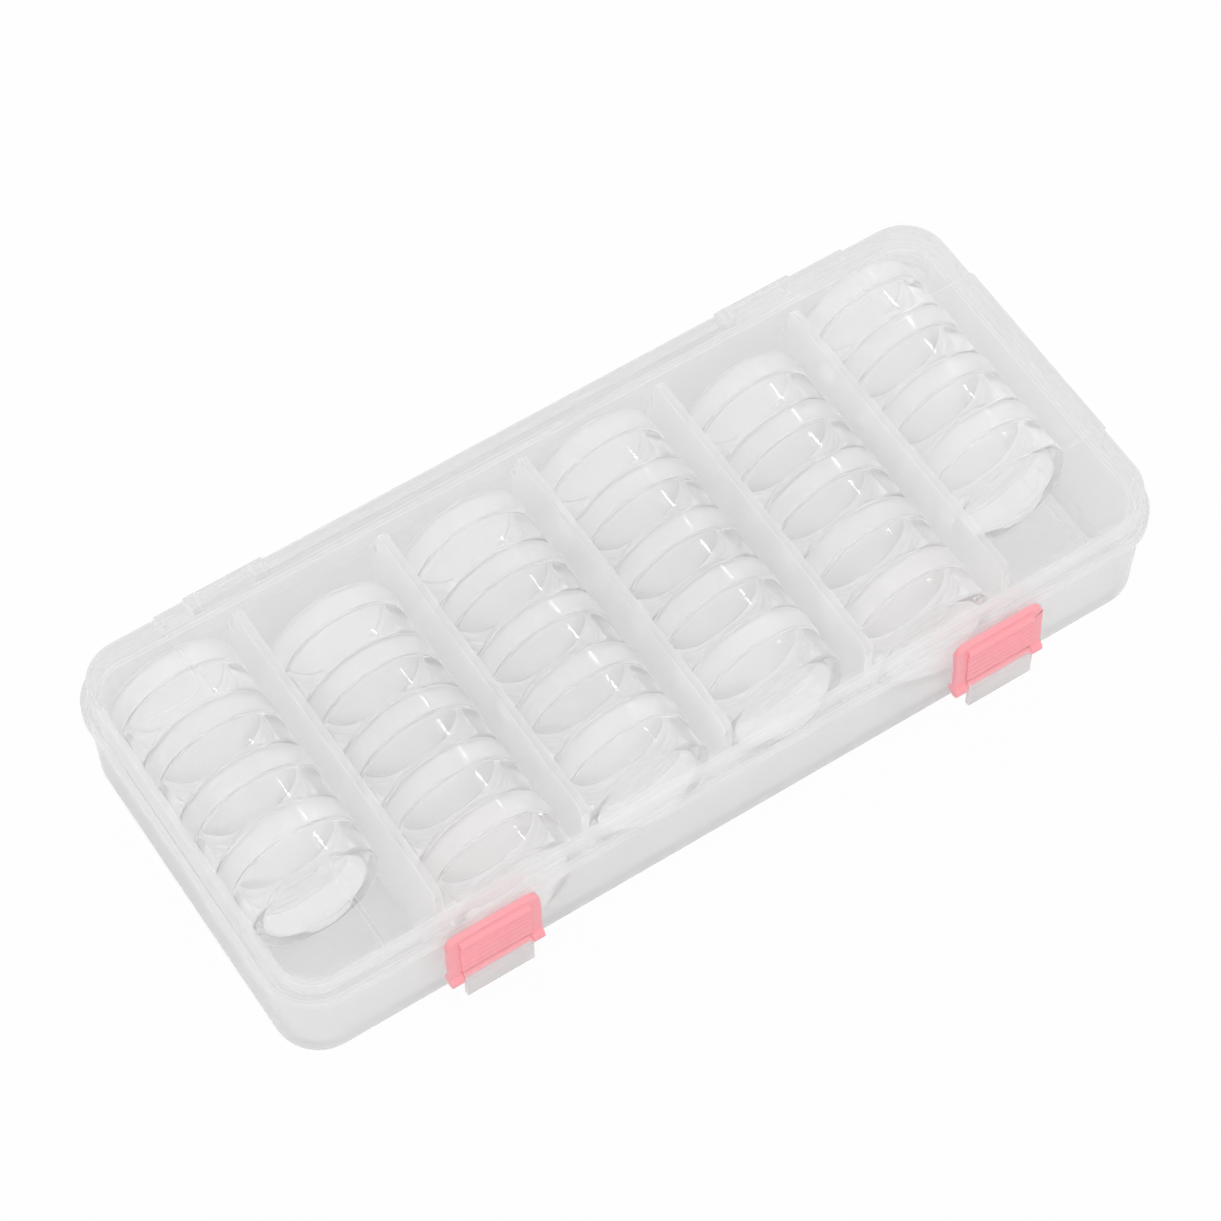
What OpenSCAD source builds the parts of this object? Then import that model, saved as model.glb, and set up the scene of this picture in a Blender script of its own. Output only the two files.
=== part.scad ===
// Bobbin box: a shallow clear case with a hinged lid and two snap latches.
// Six bays side by side hold rows of round screw-cap jars that lie on their sides.
// The case is sized round its jars, so the jar is the driving size.
// Frame: origin under the middle of the tray, +Z up, the latches on the -Y side.

/* [Jars] */
// Diameter of a jar over its cap
jar_d = 33.6; // [26:0.1:44]
// Length of a closed jar
jar_l = 16.2; // [13:0.1:22]
// How far the cap stands out beyond the body of the jar
body_step = 0.4; // [0:0.1:1.2]
// Thickness of the jar's walls
jar_wall = 1.1; // [0.8:0.1:1.8]
// Depth of the cap's skirt
cap_l = 6.6; // [5.5:0.1:9]
// Thickness of the cap's top and skirt
cap_wall = 1.1; // [0.8:0.1:1.5]
// Room for the screw thread between the neck and the cap
thread_room = 0.95; // [0.6:0.05:1.4]
// Rounding of the edges at the two ends of a jar
jar_edge = 0.9; // [0.3:0.1:1]
// Play between the cap and the jar all round
cap_clear = 0.35; // [0.3:0.05:0.6]

/* [Rows] */
// Jars in each bay, from left to right
jars_in_bay = [4, 5, 5, 5, 5, 4];
// How far each row has slid forward, as a share of its free length
row_slide = [0.37, 0.94, 0.53, 0.34, 0.78, 0.16];
// Jars that fill a bay from end to end
jars_full = 5; // [5:1:8]
// Gap between neighbouring jars in a row
jar_gap = 0.2; // [0.1:0.1:1]
// Free length in a full row
row_slack = 12; // [4:0.5:30]
// Gap between a jar and the divider on each side
bay_clear = 1.5; // [0.6:0.1:4]
// Gap under a jar
rest_gap = 0.3; // [0.1:0.05:0.5]
// Gap between a jar and the lid above it
head_clear = 1.4; // [0.6:0.1:5]

/* [Tray] */
// Thickness of the tray's floor
floor_t = 1.9; // [1.2:0.1:3]
// Thickness of the tray's outer wall
tray_wall = 2; // [1.2:0.1:3]
// How much the wall leans in from the rim down to the floor
tray_draft = 0.7; // [0.2:0.1:1.5]
// Corner radius of the tray at its rim, seen from above
tray_r = 12; // [9:0.5:20]
// Rounding where the wall turns into the floor
tray_fillet = 3.7; // [2.5:0.1:4.5]
// Thickness of the dividers
divider_t = 2; // [1.2:0.1:3]
// How far the dividers stay below the top of the jars
divider_drop = 0.6; // [0:0.1:3]
// How far the raised part of a divider stops short of the rim lip
divider_inset = 2.9; // [1:0.1:6]
// Thickness of the lip that stands up inside the lid
lip_t = 1.2; // [0.8:0.1:2]
// Height of that lip above the rim
lip_h = 2.7; // [1.5:0.1:4]
// Rounding of a divider's upper corners
divider_r = 2.6; // [0.5:0.1:2.8]
// How far below the lid's skirt the dividers step in
step_drop = 1.8; // [0.5:0.1:4]

/* [Lid] */
// Thickness of the lid's top and sides
lid_t = 1.5; // [1:0.1:2.5]
// Depth of the lid above the tray's rim, inside
lid_depth = 8.1; // [6:0.1:12]
// Height of the cross-shaped middle above the four corner fields
cross_h = 0.7; // [0.3:0.1:1.2]
// How far the corner fields sit back from the side walls of the cross
cross_proud = 0.3; // [0.1:0.1:0.6]
// Length of a corner field along the box
field_l = 22.95; // [14:0.05:60]
// Width of a corner field across the box
field_w = 23.45; // [14:0.05:34]
// Rounding of a corner field's inner corner
field_r = 5; // [2:0.5:10]
// Rounding of the lid's top edge
lid_fillet = 1.3; // [0.6:0.1:1.4]
// Thickness of the skirt that hangs outside the tray's rim
skirt_t = 0.9; // [0.7:0.1:1.6]
// How far the skirt hangs below the rim
skirt_drop = 2; // [1:0.1:4]
// Thickness of the ledge that joins the skirt to the lid's side
ledge_t = 0.8; // [0.6:0.1:1.5]
// How far the tray's rim stands out beyond the lid's side
rim_step = 0.45; // [0.2:0.05:1]
// Gap between the tray's rim and what the lid sets round it
skirt_clear = 0.35; // [0.3:0.05:0.8]
// Gap between the lip and the lid's side
lip_clear = 0.45; // [0.4:0.05:0.8]
// Gap between the rim and the ledge that rests on it
seat_gap = 0.3; // [0.1:0.05:0.5]

/* [Latches] */
// Distance of a latch from the middle of the box
latch_x = 69; // [40:0.5:85]
// Width of a latch
latch_w = 24.4; // [18:0.1:32]
// Thickness of a latch's plate
latch_t = 1.5; // [1.2:0.1:2.2]
// Width of each leg beside the tray's lug
leg_w = 3; // [2:0.1:5]
// Radius of the round end of a leg
leg_r = 1.9; // [1.7:0.05:2.4]
// Rounding of the latch's upper corners
latch_corner = 3; // [1:0.5:5]
// Height of the pivot above the table
pivot_z = 12.2; // [10:0.1:14]
// How far the foot of the latch stands out beyond its top
foot_out = 0.8; // [0.4:0.1:1.5]
// Depth of the lug below the pivot
lug_drop = 6.6; // [4:0.1:7.5]
// Radius of the pivot rod
rod_r = 1.2; // [1:0.05:1.3]
// Play of the rod or a hinge pin in its bore
rod_clear = 0.05; // [0.02:0.01:0.1]
// How far the latch's top stays below the top of the lid's skirt
latch_drop = 0.9; // [0:0.1:1.5]
// Gap between a latch and what it closes over
latch_clear = 0.35; // [0.3:0.05:0.6]
// Thickness of material round a bore
bore_wall = 1.1; // [0.8:0.1:1.4]
// Width of the slot below a bore, as a share of the bore
snap_share = 0.8; // [0.6:0.05:0.9]
// Number of fine ribs across the grip
grip_ribs = 5; // [3:1:7]
// Radius of a fine rib
rib_r = 1.1; // [0.8:0.05:1.4]
// Radius of the broad rib above them
top_rib_r = 1.5; // [1.1:0.05:1.9]
// How far the centres of the ribs lie behind the plate's face
rib_sink = 0.45; // [0.2:0.05:0.6]

/* [Hinges] */
// Distance of a hinge from the middle of the box
hinge_x = 74; // [40:0.5:90]
// Width of the tray's clip at a hinge
clip_w = 14; // [8:0.5:24]
// Width of each of the lid's ears beside the clip
ear_w = 3; // [2:0.1:5]
// Radius of the hinge pin
pin_r = 1.3; // [1:0.05:1.5]
// Depth of the clip below the pin
clip_drop = 4.5; // [3:0.1:6]
// Height of the hinge pin above the lower edge of the skirt
pin_rise = 0.2; // [0:0.1:0.8]
// Gap between what turns at a hinge and what stands still
hinge_clear = 0.4; // [0.3:0.05:0.8]

/* [Hidden] */
bays = len(jars_in_bay);
jar_pitch = jar_l + jar_gap;
jar_r = jar_d / 2;
body_r = jar_r - body_step;
jar_z = floor_t + rest_gap + jar_r;
jars_top = jar_z + jar_r;
cap_bore_r = jar_r - cap_wall;
neck_r = cap_bore_r - thread_room;
jar_bore_r = neck_r - jar_wall;
shoulder = jar_l - cap_l - cap_clear;
neck_l = cap_l - cap_wall;

bay_w = jar_d + 2 * bay_clear;
bay_pitch = bay_w + divider_t;
row_l = jars_full * jar_pitch - jar_gap + row_slack;

// Half length and half width of each ring of the section, from the lip outward
lip_in = [bays * bay_w / 2 + (bays - 1) * divider_t / 2, row_l / 2];
lip_out = lip_in + lip_t * [1, 1];
lid_in = lip_out + lip_clear * [1, 1];
lid_out = lid_in + lid_t * [1, 1];
rim_out = lid_out + rim_step * [1, 1];
skirt_in = rim_out + skirt_clear * [1, 1];
skirt_out = skirt_in + skirt_t * [1, 1];
tray_in = rim_out - tray_wall * [1, 1];

lid_ceiling = jars_top + head_clear;
field_z = lid_ceiling + lid_t;
lid_top = field_z + cross_h;
ledge_z = lid_ceiling - lid_depth;
rim_z = ledge_z - seat_gap;
lip_z = rim_z + lip_h;
skirt_z = rim_z - skirt_drop;
divider_top = jars_top - divider_drop;
divider_step = skirt_z - step_drop;
divider_end = lip_in[1] - divider_inset;
lid_r = tray_r - rim_step;
cross_x = lid_out[0] - field_l;
cross_y = lid_out[1] - field_w;

// A latch's plate stands clear of the skirt and leans out towards its pivot
plate_y = skirt_out[1] + latch_clear;
pivot_y = plate_y + latch_t / 2 + foot_out;
barrel_r = rod_r + rod_clear + bore_wall;
plate_z = pivot_z + barrel_r + latch_clear;
latch_top = ledge_z + ledge_t - latch_drop;
lean = foot_out / (latch_top - pivot_z);
grip_w = latch_w - 2 * leg_w;
lug_w = grip_w - 2 * latch_clear;

clip_r = pin_r + rod_clear + bore_wall;
pin_y = skirt_out[1] + clip_r + hinge_clear;
pin_z = skirt_z + pin_rise;

smooth = 96;
eps = 0.05;

// Carries a section round a rounded rectangle. The section's x runs outward from the
// centre line of the corner, and its y runs up.
module carry_round(half, r) {
    corner = half - r * [1, 1];
    for (turn = [0:3])
        translate([(turn % 3 == 0 ? 1 : -1) * corner[0], (turn < 2 ? 1 : -1) * corner[1], 0])
            rotate(90 * turn)
                rotate_extrude(angle = 90, $fn = smooth) children();
    for (side = [0, 1])
        mirror([side, 0, 0])
            translate([corner[0], corner[1], 0])
                rotate([90, 0, 0])
                    linear_extrude(2 * corner[1]) children();
    for (side = [0, 1])
        mirror([0, side, 0])
            translate([-corner[0], corner[1], 0])
                rotate([90, 0, 90])
                    linear_extrude(2 * corner[0]) children();
}

// A flat-sided block with rounded upright corners
module block(half, r, z0, z1) {
    corner = half - r * [1, 1];
    translate([0, 0, z0])
        linear_extrude(z1 - z0) {
            square([2 * half[0], 2 * corner[1]], center = true);
            square([2 * corner[0], 2 * half[1]], center = true);
            for (x = [-corner[0], corner[0]])
                for (y = [-corner[1], corner[1]])
                    translate([x, y]) circle(r, $fn = smooth);
        }
}

// Upright ring between two rounded rectangles
module ring(outer, inner, r, z0, z1) {
    difference() {
        block(outer, r, z0, z1);
        block(inner, r - (outer[0] - inner[0]), z0 - 1, z1 + 1);
    }
}

// A tub: leaning sides that turn into a flat bottom with a round edge
module tub(half, r, lean, fillet, z0, z1) {
    corner = half - r * [1, 1];
    foot = r - lean;
    carry_round(half, r) {
        translate([0, z0]) square([foot - fillet, fillet + eps]);
        translate([foot - fillet, z0 + fillet]) circle(fillet, $fn = smooth);
        polygon([[0, z0 + fillet], [foot, z0 + fillet], [r, z1], [0, z1]]);
    }
    translate([-corner[0], -corner[1], z0]) cube([2 * corner[0], 2 * corner[1], z1 - z0]);
}

// One divider, drawn from the side: full width low down, stepped in above the step
module divider() {
    rotate([90, 0, 90])
        linear_extrude(divider_t, center = true) {
            translate([-lip_in[1] - eps, floor_t / 2])
                square([2 * (lip_in[1] + eps), divider_step - floor_t / 2]);
            translate([-divider_end, floor_t])
                square([2 * divider_end, divider_top - divider_r - floor_t]);
            translate([-divider_end + divider_r, floor_t])
                square([2 * (divider_end - divider_r), divider_top - floor_t]);
            for (y = [-1, 1])
                translate([y * (divider_end - divider_r), divider_top - divider_r])
                    circle(divider_r, $fn = smooth);
        }
}

// Snap bearing seen from the side: a barrel round the origin, carried by a web from a wall
// at x = wall_x, with a slot below the bore that the rod is pushed in through
module clip_section(r, bore_r, wall_x, web_high, drop) {
    slot_w = 2 * bore_r * snap_share;
    difference() {
        union() {
            circle(r, $fn = smooth);
            polygon([[wall_x, -drop], [r, -drop], [r, 0], [0, web_high], [wall_x, web_high]]);
        }
        circle(bore_r, $fn = smooth);
        translate([-slot_w / 2, -drop - 1]) square([slot_w, drop + 1]);
    }
}

module latch_lug() {
    wall_x = rim_out[1] - tray_draft - tray_wall / 2 - pivot_y;
    translate([0, -pivot_y, pivot_z])
        rotate([90, 0, -90])
            linear_extrude(lug_w, center = true)
                clip_section(barrel_r, rod_r + rod_clear, wall_x, barrel_r, lug_drop);
}

module hinge_clip() {
    wall_x = rim_out[1] - tray_wall / 2 - pin_y;
    translate([0, pin_y, pin_z])
        rotate([90, 0, 90])
            linear_extrude(clip_w, center = true)
                clip_section(clip_r, pin_r + rod_clear, wall_x, skirt_z - pin_z - hinge_clear, clip_drop);
}

module base_tray() {
    color([0.93, 0.94, 0.95, 0.5]) {
        difference() {
            tub(rim_out, tray_r, tray_draft, tray_fillet, 0, rim_z);
            tub(tray_in, tray_r - tray_wall, tray_draft, tray_fillet - tray_wall, floor_t, rim_z + 1);
        }
        ring(rim_out - eps * [1, 1], lip_in, tray_r - eps, divider_step, rim_z);
        ring(lip_out, lip_in, tray_r - (rim_out[0] - lip_out[0]), divider_step, lip_z);
        for (n = [1:bays - 1])
            translate([(n - bays / 2) * bay_pitch, 0, 0]) divider();
        for (side = [-1, 1]) {
            translate([side * latch_x, 0, 0]) latch_lug();
            translate([side * hinge_x, 0, 0]) hinge_clip();
        }
    }
}

// A slab with its two upper long edges rounded, run along x
module slab(half_x, half_y, z0, z1, edge) {
    rotate([90, 0, 90])
        linear_extrude(2 * half_x, center = true) {
            translate([-half_y, z0]) square([2 * half_y, z1 - edge - z0]);
            translate([-half_y + edge, z0]) square([2 * (half_y - edge), z1 - z0]);
            for (y = [-1, 1])
                translate([y * (half_y - edge), z1 - edge]) circle(edge, $fn = smooth);
        }
}

// The cross in the middle of the lid, with rounded inner corners
module lid_cross() {
    slab(cross_x, lid_out[1], ledge_z + ledge_t / 2, lid_top, lid_fillet);
    rotate(90) slab(cross_y, lid_out[0], ledge_z + ledge_t / 2, lid_top, lid_fillet);
    for (x = [-1, 1])
        for (y = [-1, 1])
            scale([x, y, 1])
                translate([cross_x - eps, cross_y - eps, field_z - lid_t / 2])
                    linear_extrude(lid_top - field_z + lid_t / 2)
                        difference() {
                            square(field_r + eps);
                            translate([field_r + eps, field_r + eps]) circle(field_r, $fn = smooth);
                        }
}

// The lid's outside above the ledge, at the level of the corner fields
module field_shell() {
    half = lid_out - cross_proud * [1, 1];
    r = lid_r - cross_proud;
    corner = half - r * [1, 1];
    carry_round(half, r) {
        translate([0, ledge_z + ledge_t / 2]) square([r, field_z - lid_fillet - ledge_z - ledge_t / 2]);
        translate([0, ledge_z + ledge_t / 2]) square([r - lid_fillet, field_z - ledge_z - ledge_t / 2]);
        translate([r - lid_fillet, field_z - lid_fillet]) circle(lid_fillet, $fn = smooth);
    }
    translate([-corner[0], -corner[1], ledge_z + ledge_t / 2])
        cube([2 * corner[0], 2 * corner[1], field_z - ledge_z - ledge_t / 2]);
}

module lid_hinge() {
    reach = pin_y - skirt_out[1] + skirt_t / 2;
    for (side = [-1, 1])
        translate([side * (clip_w / 2 + hinge_clear + ear_w / 2), pin_y, pin_z])
            rotate([90, 0, 90])
                linear_extrude(ear_w, center = true) {
                    circle(clip_r, $fn = smooth);
                    polygon([[0, 0], [0, clip_r], [-reach, ledge_z + ledge_t - pin_z], [-reach, 0]]);
                }
    translate([0, pin_y, pin_z])
        rotate([0, 90, 0])
            cylinder(r = pin_r, h = clip_w + 2 * (hinge_clear + eps), center = true, $fn = smooth);
}

module lid() {
    color([0.95, 0.96, 0.97, 0.45]) {
        difference() {
            union() {
                field_shell();
                lid_cross();
            }
            block(lid_in, lid_r - lid_t, ledge_z - 1, lid_ceiling);
            slab(cross_x - lid_t, lid_in[1], ledge_z, lid_ceiling + cross_h, eps);
            rotate(90) slab(cross_y - lid_t, lid_in[0], ledge_z, lid_ceiling + cross_h, eps);
        }
        ring(skirt_out, lid_in, tray_r + skirt_clear + skirt_t, ledge_z, ledge_z + ledge_t);
        ring(skirt_out, skirt_in, tray_r + skirt_clear + skirt_t, skirt_z, ledge_z + ledge_t / 2);
        for (side = [-1, 1])
            translate([side * hinge_x, 0, 0]) lid_hinge();
    }
}

// The latch from the side, with x outward from the pivot and y up: a leg with a round end
module latch_section() {
    rise = latch_top - pivot_z;
    polygon([[-latch_t / 2, 0], [latch_t / 2, 0],
        [latch_t / 2 - foot_out, rise], [-latch_t / 2 - foot_out, rise]]);
    circle(leg_r, $fn = smooth);
}

// The ribs of the grip from the side, from the middle of the plate outward
module grip_section() {
    rise = latch_top - pivot_z;
    low = plate_z - pivot_z + rib_r;
    high = rise - 3 * top_rib_r - rib_r;
    intersection() {
        union() {
            translate([latch_t / 2 - lean * (rise - 2 * top_rib_r) - rib_sink, rise - 2 * top_rib_r])
                circle(top_rib_r, $fn = smooth);
            for (n = [0:grip_ribs - 1]) {
                z = low + (high - low) * n / (grip_ribs - 1);
                translate([latch_t / 2 - lean * z - rib_sink, z]) circle(rib_r, $fn = smooth);
            }
        }
        polygon([[0, 0], [2 * latch_t + top_rib_r, 0], [2 * latch_t + top_rib_r, rise], [-foot_out, rise]]);
    }
}

// The latch from the front: rounded upper corners, and a space between the legs
module latch_front() {
    rise = latch_top - pivot_z;
    corner_x = latch_w / 2 - latch_corner;
    rotate([90, 0, 0])
        linear_extrude(4 * leg_r, center = true)
            difference() {
                union() {
                    translate([-latch_w / 2, -leg_r]) square([latch_w, rise - latch_corner + leg_r]);
                    translate([-corner_x, 0]) square([2 * corner_x, rise]);
                    for (x = [-corner_x, corner_x])
                        translate([x, rise - latch_corner]) circle(latch_corner, $fn = smooth);
                }
                translate([-grip_w / 2, -2 * leg_r])
                    square([grip_w, plate_z - pivot_z + 2 * leg_r]);
            }
}

module latch() {
    translate([0, -pivot_y, pivot_z]) {
        intersection() {
            rotate([90, 0, -90])
                linear_extrude(latch_w, center = true) latch_section();
            latch_front();
        }
        rotate([90, 0, -90])
            linear_extrude(grip_w, center = true) grip_section();
        rotate([0, 90, 0])
            cylinder(r = rod_r, h = grip_w + 2 * eps, center = true, $fn = smooth);
    }
}

module latch_left() {
    color([0.97, 0.6, 0.65]) translate([-latch_x, 0, 0]) latch();
}

module latch_right() {
    color([0.97, 0.6, 0.65]) translate([latch_x, 0, 0]) latch();
}

// Puts a jar's own frame, with its base at z = 0 and its cap at the top, into its place
module in_place(bay, place) {
    x = (bay - (bays + 1) / 2) * bay_pitch;
    back = row_l / 2 - row_slide[bay - 1] * row_slack - (place - 1) * jar_pitch;
    translate([x, back - jar_l, jar_z]) rotate([-90, 0, 0]) children();
}

module jar() {
    color([0.85, 0.87, 0.88, 0.5])
        rotate_extrude($fn = smooth)
            difference() {
                union() {
                    translate([0, jar_edge]) square([body_r, shoulder - jar_edge]);
                    square([body_r - jar_edge, shoulder]);
                    translate([body_r - jar_edge, jar_edge]) circle(jar_edge, $fn = smooth);
                    square([neck_r, shoulder + neck_l]);
                }
                translate([0, jar_wall]) square([jar_bore_r, jar_l]);
            }
}

module cap() {
    color([0.9, 0.91, 0.92, 0.5])
        rotate_extrude($fn = smooth)
            difference() {
                union() {
                    translate([0, jar_l - cap_l]) square([jar_r, cap_l - jar_edge]);
                    translate([0, jar_l - cap_l]) square([jar_r - jar_edge, cap_l]);
                    translate([jar_r - jar_edge, jar_l - jar_edge]) circle(jar_edge, $fn = smooth);
                }
                square([cap_bore_r, jar_l - cap_wall]);
            }
}

base_tray();
lid();
latch_left();
latch_right();
for (bay = [1:bays])
    for (place = [1:jars_in_bay[bay - 1]]) {
        in_place(bay, place) jar();
        in_place(bay, place) cap();
    }
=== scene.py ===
# %% [markdown]
# # A clear bobbin box
# The real box is two thin mouldings of milky polypropylene, a tray and a lid, hinged at the
# back and held at the front by two pink latches. Inside lie round screw-cap jars of clearer
# plastic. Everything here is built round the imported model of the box, which is only read.

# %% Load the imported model
import math

import bmesh
import bpy
import numpy as np
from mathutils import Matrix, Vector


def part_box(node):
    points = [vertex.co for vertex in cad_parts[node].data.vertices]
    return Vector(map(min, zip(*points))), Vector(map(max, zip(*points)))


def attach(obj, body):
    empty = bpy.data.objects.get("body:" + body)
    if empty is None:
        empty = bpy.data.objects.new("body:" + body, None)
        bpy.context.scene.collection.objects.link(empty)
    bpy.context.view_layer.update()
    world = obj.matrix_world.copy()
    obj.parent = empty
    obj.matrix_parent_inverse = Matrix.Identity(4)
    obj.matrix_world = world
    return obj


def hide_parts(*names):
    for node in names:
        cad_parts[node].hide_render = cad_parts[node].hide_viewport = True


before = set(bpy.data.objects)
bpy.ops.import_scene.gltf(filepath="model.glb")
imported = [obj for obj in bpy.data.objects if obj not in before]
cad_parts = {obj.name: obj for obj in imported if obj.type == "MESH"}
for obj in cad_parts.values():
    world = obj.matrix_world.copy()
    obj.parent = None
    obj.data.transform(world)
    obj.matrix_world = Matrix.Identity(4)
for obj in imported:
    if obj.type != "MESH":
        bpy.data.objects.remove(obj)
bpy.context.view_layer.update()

MM = 0.001

# %% [markdown]
# ## Small tools for surfaces
# A moulded part is a few surfaces that close on each other. One way to make them is to start
# from a cylinder and cut it. Here each surface is a grid of points worked out from two
# parameters, because the grid can follow a formula exactly and stays easy to change.

# %% Faces of a closed grid
TURN = 2 * math.pi


def ring_quads(rows, cols):
    """Quads of a grid whose columns close on themselves: each joins row i to row i + 1 and
    column j to the column after it, counting round."""
    i, j = np.meshgrid(np.arange(rows - 1), np.arange(cols), indexing="ij")
    after = (j + 1) % cols
    here, above = i * cols, (i + 1) * cols
    return np.stack([here + j, here + after, above + after, above + j], -1).reshape(-1, 4)


def closed_turning(points, faces):
    """Turns every face over where the closed surface is inside out. The sum of each triangle's
    a . (b x c) is six times the volume, and it is negative when faces point inwards."""
    volume = 0.0
    for part in faces:
        corners = points[part]
        for k in range(1, corners.shape[1] - 1):
            across = np.cross(corners[:, k], corners[:, k + 1])
            volume += (corners[:, 0] * across).sum()
    return [part[:, ::-1] for part in faces] if volume < 0 else faces


print("a grid of 3 rings of 4 points has", len(ring_quads(3, 4)), "faces")

# %% A finished piece


def new_piece(name, points, faces, material, body, stands_for=()):
    """One finished object at the origin, from arrays of points and lists of face arrays."""
    mesh = bpy.data.meshes.new(name)
    faces = closed_turning(points, faces)
    mesh.from_pydata(points.tolist(), [], [row for part in faces for row in part.tolist()])
    mesh.polygons.foreach_set("use_smooth", np.ones(len(mesh.polygons), dtype=bool))
    mesh.update()
    piece = bpy.data.objects.new(name, mesh)
    bpy.context.collection.objects.link(piece)
    mesh.materials.append(material)
    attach(piece, body)
    if stands_for:
        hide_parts(*stands_for)
    return piece


# %% Surfaces of revolution


def turned(profile, segments, push=None):
    """A surface of revolution with closed ends. A profile point (r, a) becomes the circle
    (r cos t, a, r sin t). push(r, a, t) gives how far each point moves outward, for a thread."""
    inner = profile[1:-1]
    t = np.arange(segments) * TURN / segments
    r = np.repeat(inner[:, :1], segments, axis=1)
    a = np.repeat(inner[:, 1:], segments, axis=1)
    if push is not None:
        r = r + push(r, a, t[None, :])
    rings = np.stack([r * np.cos(t), a, r * np.sin(t)], -1).reshape(-1, 3)
    poles = np.array([[0, profile[0, 1], 0], [0, profile[-1, 1], 0]])
    points = np.vstack([rings, poles])
    last = (len(inner) - 1) * segments
    j = np.arange(segments)
    after = (j + 1) % segments
    first_fan = np.stack([np.full(segments, len(rings)), after, j], -1)
    last_fan = np.stack([np.full(segments, len(rings) + 1), last + j, last + after], -1)
    return points, [ring_quads(len(inner), segments), first_fan, last_fan]


def arc(centre, radius, start, end, steps=6):
    """Points along a circle from angle start to end, in degrees, both ends included."""
    t = np.radians(np.linspace(start, end, steps))
    return np.stack([centre[0] + radius * np.cos(t), centre[1] + radius * np.sin(t)], -1)


def along(a, b, steps):
    """Points evenly along a straight line, without its two ends."""
    t = np.linspace(0, 1, steps + 2)[1:-1, None]
    return np.array(a) * (1 - t) + np.array(b) * t


print("a quarter circle of radius 1:", arc((0, 0), 1, 0, 90, 3).round(2).tolist())

# %% [markdown]
# ## The plastics
# Polypropylene is never quite clear: light goes through it, and a little of it scatters, which
# makes a wall milky. A glass shader could do it all, but it draws dark outlines where a thin
# wall bends the view. So the tray and lid get a wall that is seen through unbent, with more
# white haze where it is seen along its surface. The jars are thick enough to bend the view, so
# they keep a glass shader with a share of haze, and the latches are an opaque pink.

# %% Node helpers


def node_tree(name):
    """An empty node material and its output node."""
    material = bpy.data.materials.new(name)
    material.use_nodes = True
    tree = material.node_tree
    tree.nodes.clear()
    return material, tree, tree.nodes.new("ShaderNodeOutputMaterial")


def marked(tree, shader, rough, waves, scale=60, depth=0.2 * MM):
    """Gives a shader the trace that a mould leaves: noise on the piece's own coordinates, read
    as roughness from its lowest to its highest, and as a faint waviness of the surface."""
    nodes, links = tree.nodes, tree.links
    where = nodes.new("ShaderNodeTexCoord")
    noise = nodes.new("ShaderNodeTexNoise")
    noise.inputs["Scale"].default_value = scale
    noise.inputs["Detail"].default_value = 3
    levels = nodes.new("ShaderNodeMapRange")
    levels.inputs["To Min"].default_value, levels.inputs["To Max"].default_value = rough
    bump = nodes.new("ShaderNodeBump")
    bump.inputs["Strength"].default_value = waves
    bump.inputs["Distance"].default_value = depth
    links.new(where.outputs["Object"], noise.inputs["Vector"])
    links.new(noise.outputs["Fac"], levels.inputs["Value"])
    links.new(levels.outputs["Result"], shader.inputs["Roughness"])
    links.new(noise.outputs["Fac"], bump.inputs["Height"])
    links.new(bump.outputs["Normal"], shader.inputs["Normal"])


def mixed(tree, share, first, second):
    """A mix of two shaders, with the second one's share from 0 to 1."""
    mix = tree.nodes.new("ShaderNodeMixShader")
    mix.inputs[0].default_value = share
    tree.links.new(first.outputs[0], mix.inputs[1])
    tree.links.new(second.outputs[0], mix.inputs[2])
    return mix


# %% A milky wall
CLEAR_TONE = 0.995
SLANT_BLEND = 0.25


def milky_wall(name, flat, edge, rough, waves, tone=0.97, onward_share=0.35):
    """A thin milky wall, through which things are seen unbent. Seen flat, it shows the flat
    share of white haze. Seen along its surface the haze rises to the edge share, because the
    way through the wall grows longer."""
    material, tree, out = node_tree(name)
    nodes, links = tree.nodes, tree.links
    clear = nodes.new("ShaderNodeBsdfTransparent")
    clear.inputs["Color"].default_value = (CLEAR_TONE, CLEAR_TONE, CLEAR_TONE, 1)
    haze = nodes.new("ShaderNodeBsdfPrincipled")
    haze.inputs["Base Color"].default_value = (tone, tone, tone, 1)
    haze.inputs["IOR"].default_value = 1.5
    marked(tree, haze, rough, waves)
    onward = nodes.new("ShaderNodeBsdfTranslucent")
    onward.inputs["Color"].default_value = (tone, tone, tone, 1)
    scatter = mixed(tree, onward_share, haze, onward)
    slant = nodes.new("ShaderNodeLayerWeight")
    slant.inputs["Blend"].default_value = SLANT_BLEND
    share = nodes.new("ShaderNodeMapRange")
    share.inputs["To Min"].default_value = flat
    share.inputs["To Max"].default_value = edge
    links.new(slant.outputs["Facing"], share.inputs["Value"])
    wall = mixed(tree, 0.0, clear, scatter)
    links.new(share.outputs["Result"], wall.inputs[0])
    links.new(wall.outputs[0], out.inputs["Surface"])
    return material


milky_tray = milky_wall("milky_tray", 0.11, 0.65, (0.1, 0.2), 0.06)
milky_lid = milky_wall("milky_lid", 0.05, 0.6, (0.06, 0.12), 0.03)
# milky_painted_highlight is a whiter copy of the milky wall, a painted highlight for round edges,
# top faces and rims.
milky_painted_highlight = milky_wall("milky_painted_highlight", 0.7, 0.95, (0.06, 0.12), 0.03, tone=1.0)
print("milky walls:", milky_tray.name, milky_lid.name, milky_painted_highlight.name)

# %% Clear plastic


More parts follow.
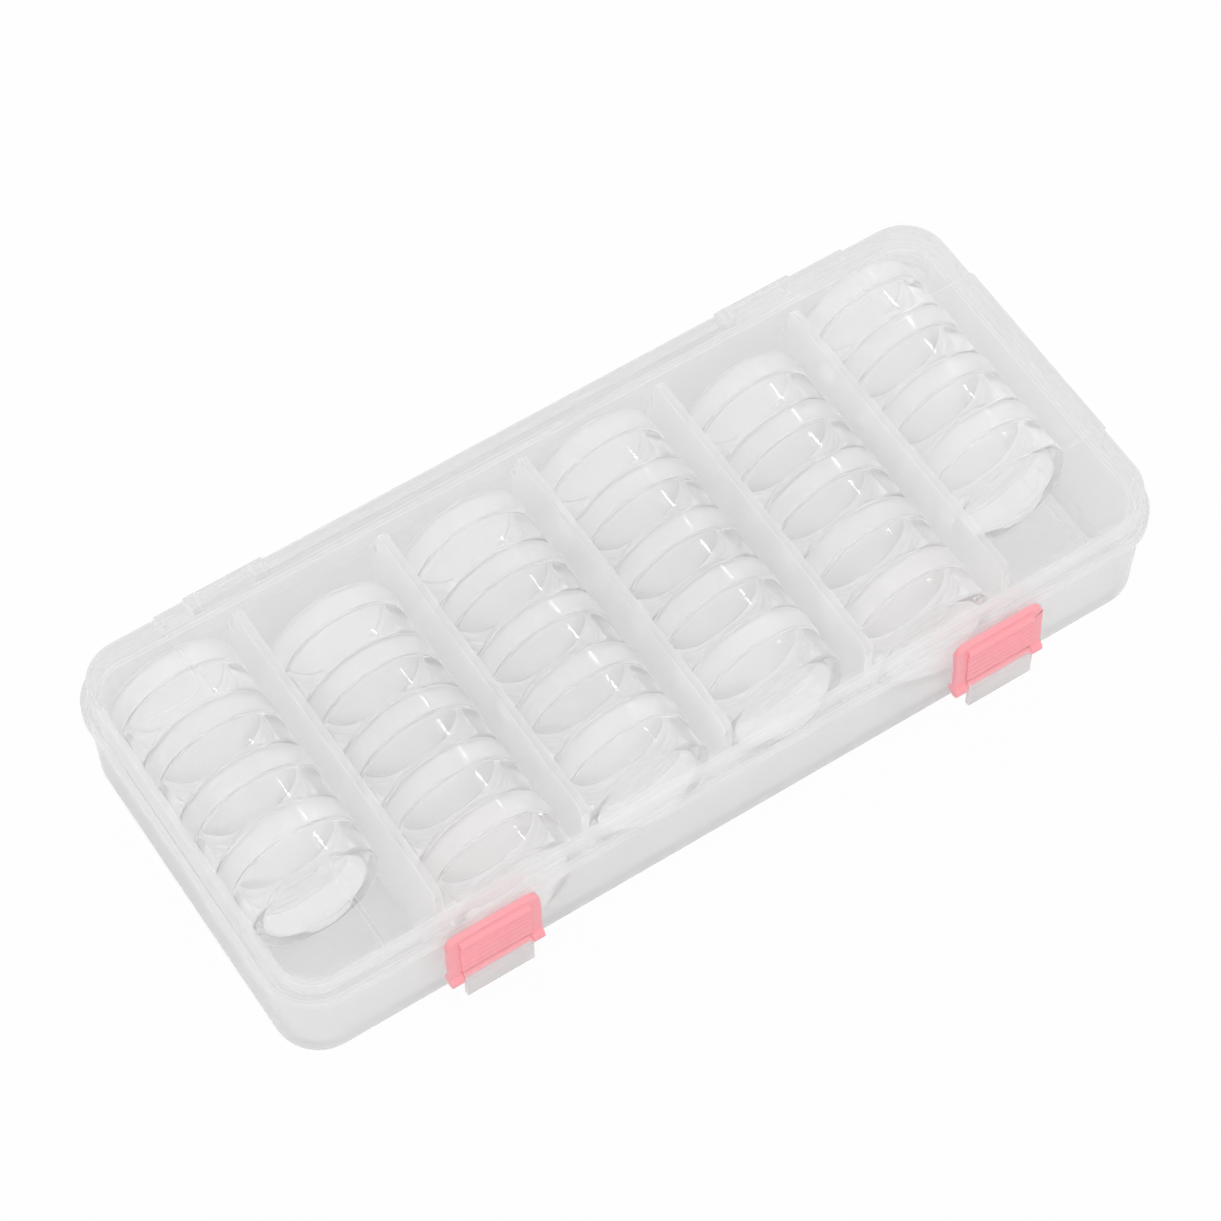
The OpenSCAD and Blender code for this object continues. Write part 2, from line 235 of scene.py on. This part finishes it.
def clear_plastic(name, haze, rough, waves, bend=1.3):
    """Thick clear plastic that bends and mirrors light as glass does, with a small share of
    haze that scatters it, half back and half onward."""
    material, tree, out = node_tree(name)
    clear = tree.nodes.new("ShaderNodeBsdfPrincipled")
    clear.inputs["Base Color"].default_value = (1, 1, 1, 1)
    clear.inputs["Transmission Weight"].default_value = 1
    clear.inputs["IOR"].default_value = bend
    marked(tree, clear, rough, waves)
    back = tree.nodes.new("ShaderNodeBsdfDiffuse")
    onward = tree.nodes.new("ShaderNodeBsdfTranslucent")
    for shader in (back, onward):
        shader.inputs["Color"].default_value = (1, 1, 1, 1)
    body = mixed(tree, haze, clear, mixed(tree, 0.5, back, onward))
    tree.links.new(body.outputs[0], out.inputs["Surface"])
    return material


jar_plastic = clear_plastic("jar_plastic", 0.16, (0.02, 0.04), 0.02)
cap_plastic = clear_plastic("cap_plastic", 0.36, (0.02, 0.05), 0.03)
print("clear plastics:", jar_plastic.name, cap_plastic.name)

# %% Pink plastic


def pink_plastic():
    """Coloured polypropylene: an even pink with a soft sheen and a little light inside it."""
    material, tree, out = node_tree("pink_polypropylene")
    body = tree.nodes.new("ShaderNodeBsdfPrincipled")
    body.inputs["Base Color"].default_value = (0.93, 0.36, 0.40, 1)
    body.inputs["Subsurface Weight"].default_value = 0.2
    body.inputs["Subsurface Radius"].default_value = (1.0, 0.35, 0.35)
    body.inputs["Subsurface Scale"].default_value = 1.5 * MM
    body.inputs["Specular IOR Level"].default_value = 0.45
    marked(tree, body, (0.3, 0.42), 0.12, scale=220, depth=0.1 * MM)
    tree.links.new(body.outputs["BSDF"], out.inputs["Surface"])
    return material


latch_pink = pink_plastic()
print("latches:", latch_pink.name)

# %% [markdown]
# ## A jar and its cap
# A jar is a clear cup with a threaded neck, and its cap is a shallow cup with the matching
# thread inside. Both could be spun from a curve with a modifier. A turned grid is used, so
# that the thread can be pushed out of the neck as a true helix by one formula.

# %% Sizes of a jar
one_low, one_high = (np.array(c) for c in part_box("jar_1_1"))
cap_low, cap_high = (np.array(c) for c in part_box("cap_1_1"))
JAR_R = (one_high[0] - one_low[0]) / 2
CAP_R = (cap_high[0] - cap_low[0]) / 2
CAP_L = cap_high[1] - cap_low[1]
JAR_L = cap_high[1] - one_low[1]
WALL = 1.1 * MM
CLEAR = 0.35 * MM
SHOULDER = JAR_L - CAP_L - CLEAR
NECK_TOP = one_high[1] - one_low[1]
CAP_BORE = CAP_R - WALL
NECK_R = CAP_BORE - 0.95 * MM
JAR_BORE = NECK_R - WALL
EDGE = 0.9 * MM
SOFT = 0.25 * MM
SEGMENTS = 112
print("jar", round(2 * CAP_R / MM, 2), "x", round(JAR_L / MM, 2), "mm")

# %% The screw thread
THREAD_H = 0.45 * MM
THREAD_PITCH = 1.9 * MM
THREAD_HALF = 0.45 * MM
SAME_RADIUS = 1e-6


def thread(start, end, height, phase):
    """A screw ridge between two heights. A point's distance from the helix is its height less
    pitch times turns, wrapped to half a pitch either way. The ridge is (1 - (d / w)^2)^2 high
    and fades out over a quarter of a pitch at both ends."""
    fade = THREAD_PITCH / 4

    def push(r, a, t):
        d = (a - start - THREAD_PITCH * t / TURN - phase) / THREAD_PITCH
        d = (d - np.round(d)) * THREAD_PITCH
        ridge = np.clip(1 - (d / THREAD_HALF) ** 2, 0, 1) ** 2
        ends = np.clip((a - start) / fade, 0, 1) * np.clip((end - a) / fade, 0, 1)
        on_wall = np.abs(r - (NECK_R if height > 0 else CAP_BORE)) < SAME_RADIUS
        return height * ridge * ends * on_wall

    return push


print("the neck's thread makes", round((NECK_TOP - SHOULDER) / THREAD_PITCH, 1), "turns")

# %% Jar shape
MIDDLE = 0.3
NECK_ROWS = 40
THREAD_END = 0.35 * MM
jar_profile = np.vstack([
    [[0, 0]],
    [[MIDDLE * JAR_R, 0]],
    along((MIDDLE * JAR_R, 0), (JAR_R - EDGE, 0), 2),
    arc((JAR_R - EDGE, EDGE), EDGE, -90, 0, 8),
    along((JAR_R, EDGE), (JAR_R, SHOULDER - SOFT), 3),
    arc((JAR_R - SOFT, SHOULDER - SOFT), SOFT, 0, 90, 4),
    along((JAR_R - SOFT, SHOULDER), (NECK_R + SOFT, SHOULDER), 1),
    arc((NECK_R + SOFT, SHOULDER + SOFT), SOFT, 270, 180, 4),
    along((NECK_R, SHOULDER + SOFT), (NECK_R, NECK_TOP - SOFT), NECK_ROWS),
    arc((NECK_R - SOFT, NECK_TOP - SOFT), SOFT, 0, 90, 4),
    arc((JAR_BORE + SOFT, NECK_TOP - SOFT), SOFT, 90, 180, 4),
    along((JAR_BORE, NECK_TOP - SOFT), (JAR_BORE, WALL + EDGE), 6),
    arc((JAR_BORE - EDGE, WALL + EDGE), EDGE, 0, -90, 6),
    [[MIDDLE * JAR_BORE, WALL]],
    [[0, WALL]],
])
jar_points, jar_faces = turned(
    jar_profile, SEGMENTS, thread(SHOULDER + THREAD_END, NECK_TOP - THREAD_END, THREAD_H, 0))
print("jar points:", len(jar_points))

# %% Cap shape
cap_low_y = JAR_L - CAP_L
cap_profile = np.vstack([
    [[0, JAR_L]],
    [[MIDDLE * CAP_R, JAR_L]],
    along((MIDDLE * CAP_R, JAR_L), (CAP_R - EDGE, JAR_L), 2),
    arc((CAP_R - EDGE, JAR_L - EDGE), EDGE, 90, 0, 8),
    along((CAP_R, JAR_L - EDGE), (CAP_R, cap_low_y + SOFT), 5),
    arc((CAP_R - SOFT, cap_low_y + SOFT), SOFT, 0, -90, 4),
    arc((CAP_BORE + SOFT, cap_low_y + SOFT), SOFT, 270, 180, 4),
    along((CAP_BORE, cap_low_y + SOFT), (CAP_BORE, JAR_L - WALL - SOFT), NECK_ROWS),
    arc((CAP_BORE - SOFT, JAR_L - WALL - SOFT), SOFT, 0, 90, 4),
    [[MIDDLE * CAP_R, JAR_L - WALL]],
    [[0, JAR_L - WALL]],
])
cap_thread = thread(
    cap_low_y + 0.3 * MM, JAR_L - WALL - 0.5 * MM, -THREAD_H, THREAD_PITCH / 2)
cap_points, cap_faces = turned(cap_profile, SEGMENTS, cap_thread)
print("cap points:", len(cap_points))

# %% Place the jars
jar_nodes = sorted(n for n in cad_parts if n.startswith("jar_"))
for node in jar_nodes:
    low, high = (np.array(c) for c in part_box(node))
    base = np.array([(low[0] + high[0]) / 2, low[1], (low[2] + high[2]) / 2])
    place = node[len("jar_"):]
    new_piece("jar_body_" + place, jar_points + base, jar_faces, jar_plastic, "base",
              stands_for=[node])
    new_piece("jar_cap_" + place, cap_points + base, cap_faces, cap_plastic, "cap_" + place,
              stands_for=["cap_" + place])
print("jars placed:", len(jar_nodes))

# %% [markdown]
# ## Tray and lid
# The tray with its dividers and the lid with its raised cross are each one moulding. They could
# be drawn again as grids, but their faces are already exact in the imported model. So the surface
# is taken from there, its loose triangles are joined, flat areas become single faces, and every
# sharp corner gets the small round edge that a mould leaves. These edges, the tray's top faces
# and the lid's rounded rims take a whiter material, a painted highlight where light would gather,
# and that is what draws a clear box's shape.

# %% A moulding from a imported solid
SAME_POINT = 0.001 * MM
FLAT_ANGLE = math.radians(0.4)
SHARP_ANGLE = math.radians(35)
NEAR_SIDE = 0.12
NEAR_FLAT = 0.985
FACES_UP = 0.99


def moulding(name, node, material, body, edge, painted_highlight_material=None, round_faces=False):
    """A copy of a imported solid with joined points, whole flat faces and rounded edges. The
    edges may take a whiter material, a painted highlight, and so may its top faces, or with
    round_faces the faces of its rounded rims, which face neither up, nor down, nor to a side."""
    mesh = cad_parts[node].data.copy()
    mesh.name = name
    work = bmesh.new()
    work.from_mesh(mesh)
    bmesh.ops.remove_doubles(work, verts=work.verts, dist=SAME_POINT)
    bmesh.ops.dissolve_limit(work, angle_limit=FLAT_ANGLE, verts=work.verts, edges=work.edges)
    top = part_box(node)[1][2]
    for face in work.faces:
        face.smooth = True
        on_top = face.normal.z > FACES_UP and face.calc_center_median().z > top - SAME_POINT
        rounded = round_faces and NEAR_SIDE < abs(face.normal.z) < NEAR_FLAT
        # Painted highlight: these faces take the whiter second material.
        if painted_highlight_material and (rounded or on_top and not round_faces):
            face.material_index = 1
    work.to_mesh(mesh)
    work.free()
    mesh.materials.clear()
    mesh.materials.append(material)
    if painted_highlight_material:
        mesh.materials.append(painted_highlight_material)
    piece = bpy.data.objects.new(name, mesh)
    bpy.context.collection.objects.link(piece)
    bevel = piece.modifiers.new("round_edges", "BEVEL")
    bevel.width = edge
    # The bevel's round edges take the whiter second material too, as a painted highlight.
    bevel.material = 1 if painted_highlight_material else -1
    bevel.segments = 3
    bevel.limit_method = "ANGLE"
    bevel.angle_limit = SHARP_ANGLE
    bevel.miter_outer = "MITER_ARC"
    bevel.harden_normals = False
    weighted = piece.modifiers.new("flat_faces_lead", "WEIGHTED_NORMAL")
    weighted.keep_sharp = True
    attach(piece, body)
    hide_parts(node)
    print(name, "faces:", len(mesh.polygons))


# %% Tray, lid and latches
moulding("tray_moulding", "base_tray", milky_tray, "base", 0.5 * MM, milky_painted_highlight)
moulding("lid_moulding", "lid", milky_lid, "lid", 0.35 * MM, milky_painted_highlight, True)
for side in ("left", "right"):
    latch = "latch_" + side
    moulding(latch + "_moulding", latch, latch_pink, latch, 0.2 * MM)

# %% [markdown]
# ## Floor, light and camera
# The box stands on a plain white floor under soft light from all round, as in a light tent.
# Many lamps could make such light. Here one pale sky does, with a soft key lamp for the shadow
# and a small lamp for sparkles. The floor shows white where it is seen past the box, a little
# grey behind its milky walls, which keeps them readable, and it keeps a faint shadow.

# %% White for the rays that look


def seen_white(tree, plain, share, through):
    """Mixes white light into a shader for the rays that look at it, so that the background
    shows white without lighting the object more. share counts for gloss and for what the
    camera sees with no clear wall between, and through for rays that come out of plastic."""
    nodes, links = tree.nodes, tree.links
    path = nodes.new("ShaderNodeLightPath")

    def maths(operation, first, second):
        """One math node on two inputs, each a socket or a number."""
        node = nodes.new("ShaderNodeMath")
        node.operation = operation
        for place, value in enumerate((first, second)):
            if isinstance(value, (int, float)):
                node.inputs[place].default_value = value
            else:
                links.new(value, node.inputs[place])
        return node.outputs[0]

    no_wall = maths("LESS_THAN", path.outputs["Transparent Depth"], 0.5)
    straight = maths("MULTIPLY", path.outputs["Is Camera Ray"], no_wall)
    sight_or_gloss = maths("MAXIMUM", straight, path.outputs["Is Glossy Ray"])
    plain_sight = maths("MULTIPLY", sight_or_gloss, share)
    behind = maths("MULTIPLY", path.outputs["Is Transmission Ray"], through)
    on_surface = plain.bl_idname.startswith("ShaderNodeBsdf")
    glow = nodes.new("ShaderNodeEmission" if on_surface else "ShaderNodeBackground")
    glow.inputs["Color"].default_value = (1, 1, 1, 1)
    glow.inputs["Strength"].default_value = 1.0
    mix = mixed(tree, 0.0, plain, glow)
    links.new(maths("MAXIMUM", plain_sight, behind), mix.inputs[0])
    return mix.outputs[0]


# %% Floor
FLOOR_HALF = 1.5
corners = FLOOR_HALF * np.array([[-1, -1, 0], [1, -1, 0], [1, 1, 0], [-1, 1, 0]])
floor_mesh = bpy.data.meshes.new("floor")
floor_mesh.from_pydata(corners.tolist(), [], [(0, 1, 2, 3)])
floor = bpy.data.objects.new("floor", floor_mesh)
bpy.context.collection.objects.link(floor)
floor_paint, floor_tree, floor_out = node_tree("white_floor")
matt = floor_tree.nodes.new("ShaderNodeBsdfDiffuse")
matt.inputs["Color"].default_value = (0.68, 0.68, 0.68, 1)
floor_white = seen_white(floor_tree, matt, 0.96, 0.8)
floor_tree.links.new(floor_white, floor_out.inputs["Surface"])
floor_mesh.materials.append(floor_paint)
print("floor:", 2 * FLOOR_HALF, "m wide")

# %% Sky
world = bpy.data.worlds.new("light_tent")
bpy.context.scene.world = world
world.use_nodes = True
world.node_tree.nodes.clear()
sky = world.node_tree.nodes.new("ShaderNodeBackground")
sky.inputs["Color"].default_value = (1, 1, 1, 1)
sky.inputs["Strength"].default_value = 1.0
world_out = world.node_tree.nodes.new("ShaderNodeOutputWorld")
white_sky = seen_white(world.node_tree, sky, 1.0, 1.0)
world.node_tree.links.new(white_sky, world_out.inputs["Surface"])
print("sky strength:", sky.inputs["Strength"].default_value)

# %% Lamps


def soft_lamp(name, place, aim, size, watts):
    """A square area lamp at one point, turned to face another."""
    lamp = bpy.data.lights.new(name, "AREA")
    lamp.shape = "SQUARE"
    lamp.size = size
    lamp.energy = watts
    thing = bpy.data.objects.new(name, lamp)
    bpy.context.collection.objects.link(thing)
    thing.location = place
    gaze = np.array(aim) - np.array(place)
    pitch = math.acos(-gaze[2] / np.linalg.norm(gaze))
    thing.rotation_euler = (pitch, 0, math.atan2(-gaze[0], gaze[1]))
    return thing


key = soft_lamp("key_light", (-0.3, -0.6, 1.2), (0, 0, 0), 1.0, 3.5)
key.visible_glossy = False
key.visible_transmission = False
spark = soft_lamp("spark_light", (0.96, 0.69, 1.09), (0, 0, 0), 0.12, 1.5)
print("lamps, in watts:", key.data.energy, spark.data.energy)

# %% Camera
# The camera looks down at the box from its front left, with a long lens.
camera_data = bpy.data.cameras.new("camera")
camera_data.sensor_width = 36
camera_data.lens = 125.6
camera = bpy.data.objects.new("camera", camera_data)
bpy.context.collection.objects.link(camera)
camera.location = (-0.2846, -0.4316, 0.8656)
camera.rotation_euler = (math.radians(31.6), 0, math.radians(-33.1))
bpy.context.scene.camera = camera
print("camera at", tuple(round(v, 3) for v in camera.location), "m")

# %% Light paths
# Light crosses many clear walls on its way, so each ray may go through many of them.
scene = bpy.context.scene
scene.view_settings.view_transform = "Standard"
scene.cycles.blur_glossy = 0
scene.cycles.max_bounces = 48
scene.cycles.diffuse_bounces = 32
scene.cycles.glossy_bounces = 32
scene.cycles.transmission_bounces = 40
scene.cycles.transparent_max_bounces = 48
print("most bounces:", scene.cycles.max_bounces)
